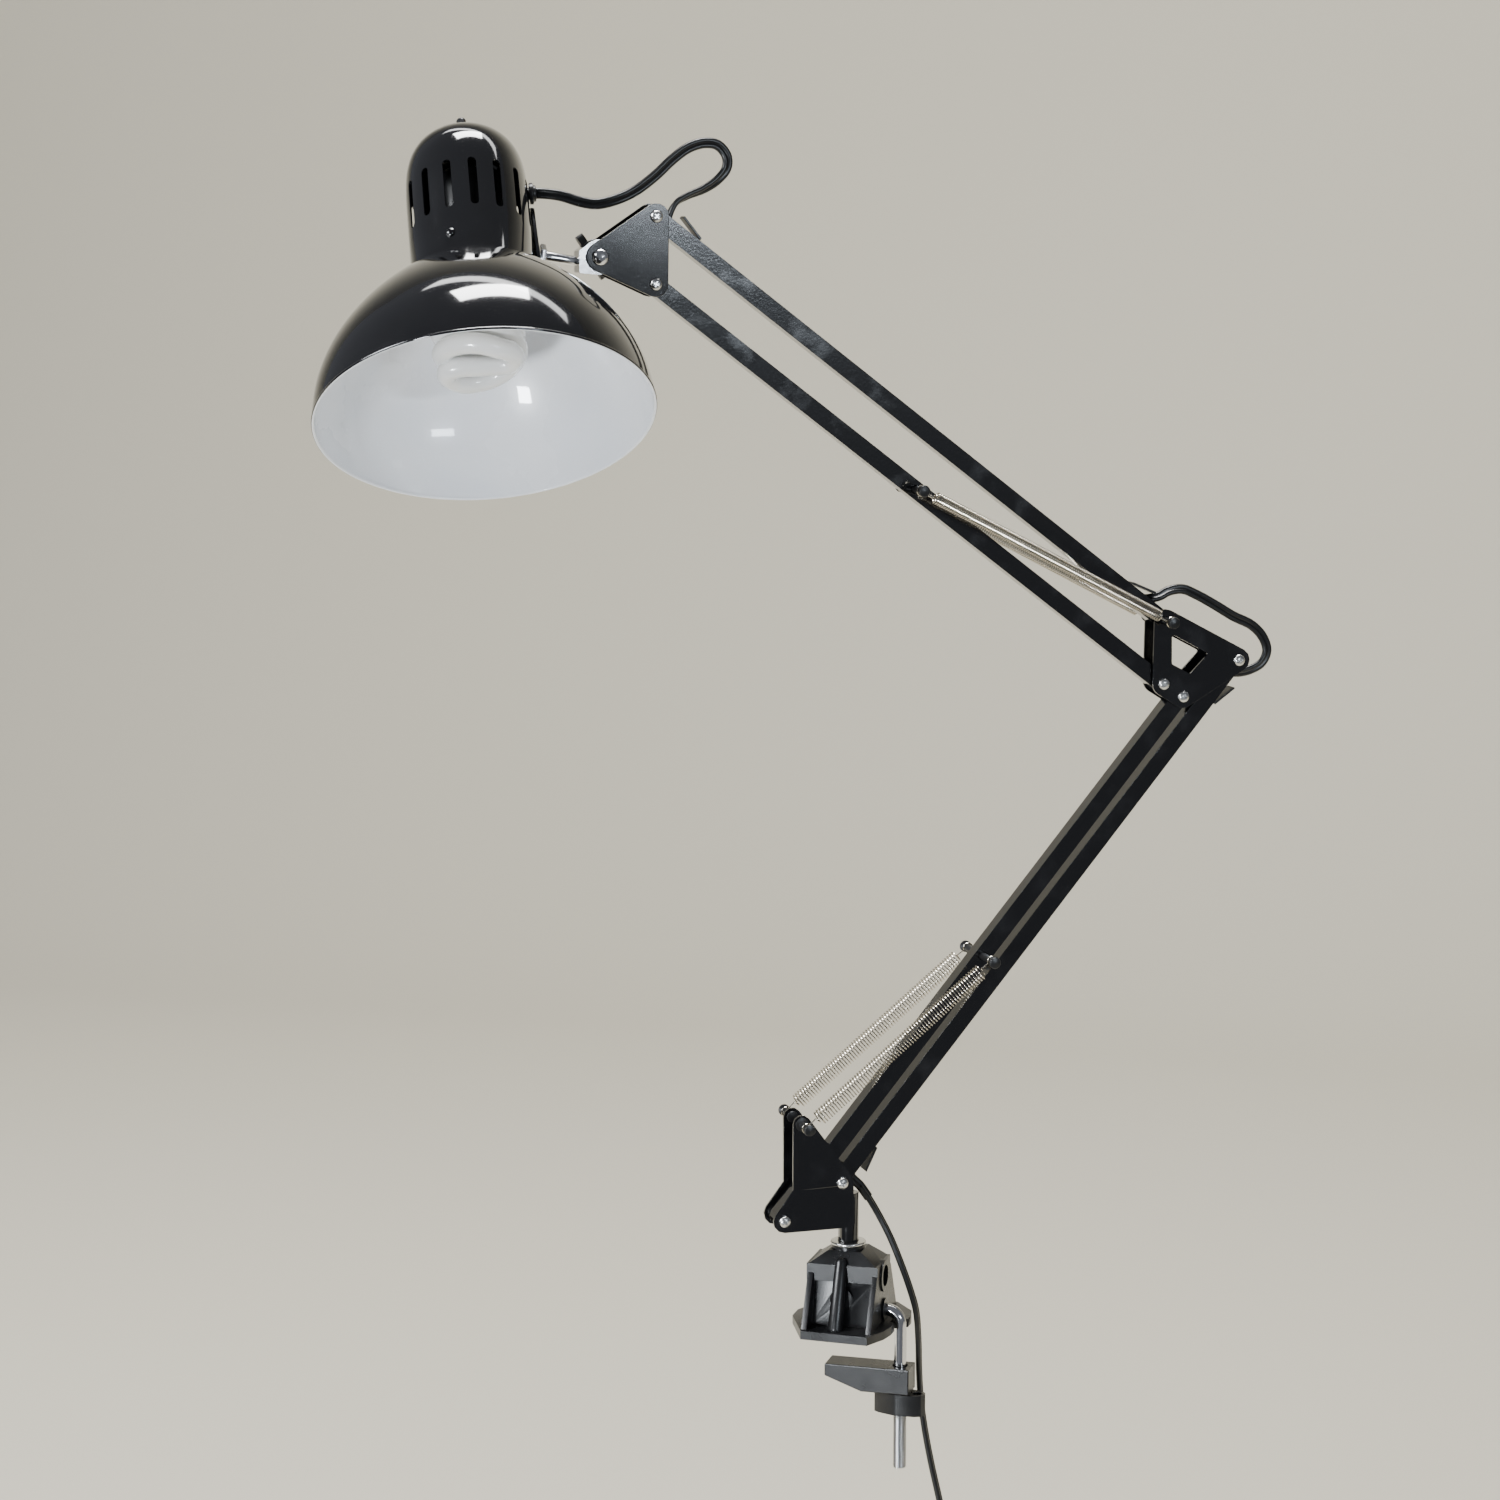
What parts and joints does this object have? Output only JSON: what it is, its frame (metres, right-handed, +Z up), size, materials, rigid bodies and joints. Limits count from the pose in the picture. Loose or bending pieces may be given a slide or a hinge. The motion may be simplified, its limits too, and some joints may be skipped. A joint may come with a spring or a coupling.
{
  "type": "swing arm desk lamp",
  "caption": "Clamp-on task lamp: two sprung parallelogram arms of square tube carry a bell shade with a vented cap and a spiral bulb.",
  "frame": {"origin": "on the underside of the clamp's flange, on the swivel stem's axis", "axes": "+Z up along the swivel stem; +X out over the desk's edge; +Y along that edge"},
  "size_m": [0.4716, 0.3829, 1.0079],
  "materials": {
    "black_gloss_paint": "gloss",
    "black_satin_paint": "satin",
    "black_plastic": "satin",
    "chrome": "polished",
    "spring_steel": "satin",
    "bulb_white": "gloss",
    "cord_black": "matte"
  },
  "bodies": {
    "clamp": {"clamp_body": "black_plastic", "clamp_bolt": "chrome", "cord_hanging": "cord_black", "cord_hank": "cord_black", "hank_tie": "black_plastic", "cord_plug_lead": "cord_black", "plug": "black_plastic"},
    "jaw": {"lower_jaw": "black_plastic"},
    "wing_nut": {"clamp_wing_nut": "black_plastic"},
    "yoke": {"yoke_near_plate": "black_satin_paint", "yoke_far_plate": "black_satin_paint", "swivel_stem": "black_satin_paint", "base_bolt_front": "chrome", "base_bolt_rear": "chrome", "base_spring_stud_near": "black_satin_paint", "base_spring_stud_far": "black_satin_paint", "lower_spring_near": "spring_steel", "lower_spring_far": "spring_steel", "cord_tail": "cord_black"},
    "lower_rear_arm": {"lower_rear_tube": "black_satin_paint", "hood_base": "black_plastic", "hood_elbow_low": "black_plastic", "lower_cord": "cord_black"},
    "lower_front_arm": {"lower_front_tube": "black_satin_paint", "lower_spring_peg": "black_satin_paint"},
    "elbow": {"elbow_near_plate": "black_satin_paint", "elbow_far_plate": "black_satin_paint", "elbow_bolt_low": "chrome", "elbow_bolt_front": "chrome", "elbow_bolt_rear": "chrome", "elbow_spring_peg": "black_satin_paint", "upper_spring_near": "spring_steel", "upper_spring_far": "spring_steel", "cord_elbow_loop": "cord_black"},
    "upper_top_arm": {"upper_top_tube": "black_satin_paint", "hood_elbow_high": "black_plastic", "hood_head": "black_plastic", "upper_cord": "cord_black"},
    "upper_bottom_arm": {"upper_bottom_tube": "black_satin_paint", "upper_spring_peg": "black_satin_paint"},
    "head": {"head_near_plate": "black_gloss_paint", "head_far_plate": "black_gloss_paint", "head_bolt_low": "chrome", "head_bolt_high": "chrome", "tilt_bolt": "chrome", "cord_head_loop": "cord_black"},
    "tilt_knob": {"tilt_wing_nut": "black_plastic"},
    "clevis": {"tilt_clevis": "chrome"},
    "shade": {"swivel_rod": "chrome", "rod_nut": "chrome", "shade_strap": "black_satin_paint", "shade_cap": "black_gloss_paint", "shade_bowl": "black_gloss_paint", "cap_screw": "chrome", "lamp_holder": "black_plastic", "holder_bracket": "spring_steel", "bulb_base": "bulb_white", "bulb_spiral": "bulb_white", "strain_relief": "black_plastic"},
    "button": {"switch_button": "black_plastic"}
  },
  "joints": [
    {"name": "base_swivel", "type": "hinge", "parent": "clamp", "child": "yoke", "pos_m": [0, 0, 0.04], "axis": [0, 0, 1], "range_deg": [-170, 170], "deforming": ["cord_hanging", "cord_tail"]},
    {"name": "lower_lift", "type": "hinge", "parent": "yoke", "child": "lower_rear_arm", "pos_m": [-0.00596, -0.00368, 0.0883], "axis": [0.5255, -0.8508, 0], "range_deg": [-5, 59], "deforming": ["lower_spring_near", "lower_spring_far"]},
    {"name": "lower_front_lift", "type": "hinge", "parent": "yoke", "child": "lower_front_arm", "pos_m": [-0.03548, -0.02191, 0.068], "axis": [0.5255, -0.8508, 0], "range_deg": [-5, 59]},
    {"name": "elbow_level", "type": "hinge", "parent": "lower_rear_arm", "child": "elbow", "pos_m": [0.2007, 0.12396, 0.38443], "axis": [0.5255, -0.8508, 0], "range_deg": [-59, 5]},
    {"name": "upper_lift", "type": "hinge", "parent": "elbow", "child": "upper_top_arm", "pos_m": [0.16105, 0.09947, 0.40893], "axis": [0.5255, -0.8508, 0], "range_deg": [-34, 50], "deforming": ["upper_spring_near", "upper_spring_far", "cord_elbow_loop"]},
    {"name": "upper_bottom_lift", "type": "hinge", "parent": "elbow", "child": "upper_bottom_arm", "pos_m": [0.16063, 0.09921, 0.37193], "axis": [0.5255, -0.8508, 0], "range_deg": [-34, 50]},
    {"name": "head_level", "type": "hinge", "parent": "upper_top_arm", "child": "head", "pos_m": [-0.09802, -0.06054, 0.64123], "axis": [0.5255, -0.8508, 0], "range_deg": [-50, 34], "deforming": ["cord_head_loop"]},
    {"name": "shade_tilt", "type": "hinge", "parent": "head", "child": "clevis", "pos_m": [-0.12507, -0.07724, 0.6191], "axis": [0.5255, -0.8508, 0], "range_deg": [-55, 22]},
    {"name": "shade_swivel", "type": "hinge", "parent": "clevis", "child": "shade", "pos_m": [-0.13485, -0.08329, 0.6166], "axis": [-0.8379, -0.5175, 0.1736], "range_deg": [-100, 50]},
    {"name": "tilt_knob_turn", "type": "hinge", "parent": "head", "child": "tilt_knob", "pos_m": [-0.13137, -0.06703, 0.6191], "axis": [0.5255, -0.8508, 0], "range_deg": [-120, 120]},
    {"name": "switch_push", "type": "slide", "parent": "shade", "child": "button", "axis": [0.239, -0.4822, -0.8428], "range_m": [0, 0.0025], "stiffness_N_per_m": 400},
    {"name": "jaw_slide", "type": "slide", "parent": "clamp", "child": "jaw", "axis": [0, 0, 1], "range_m": [-0.028, 0.004]},
    {"name": "wing_nut_turn", "type": "hinge", "parent": "jaw", "child": "wing_nut", "pos_m": [0.0314, 0, -0.044], "axis": [0, 0, 1], "range_deg": [-8100, 1170]}
  ],
  "couplings": [
    {"joint": "lower_front_lift", "follows": "lower_lift", "ratio": 1},
    {"joint": "elbow_level", "follows": "lower_lift", "ratio": -1},
    {"joint": "upper_bottom_lift", "follows": "upper_lift", "ratio": 1},
    {"joint": "head_level", "follows": "upper_lift", "ratio": -1},
    {"joint": "wing_nut_turn", "follows": "jaw_slide", "rad_per_m": 5026.6}
  ]
}
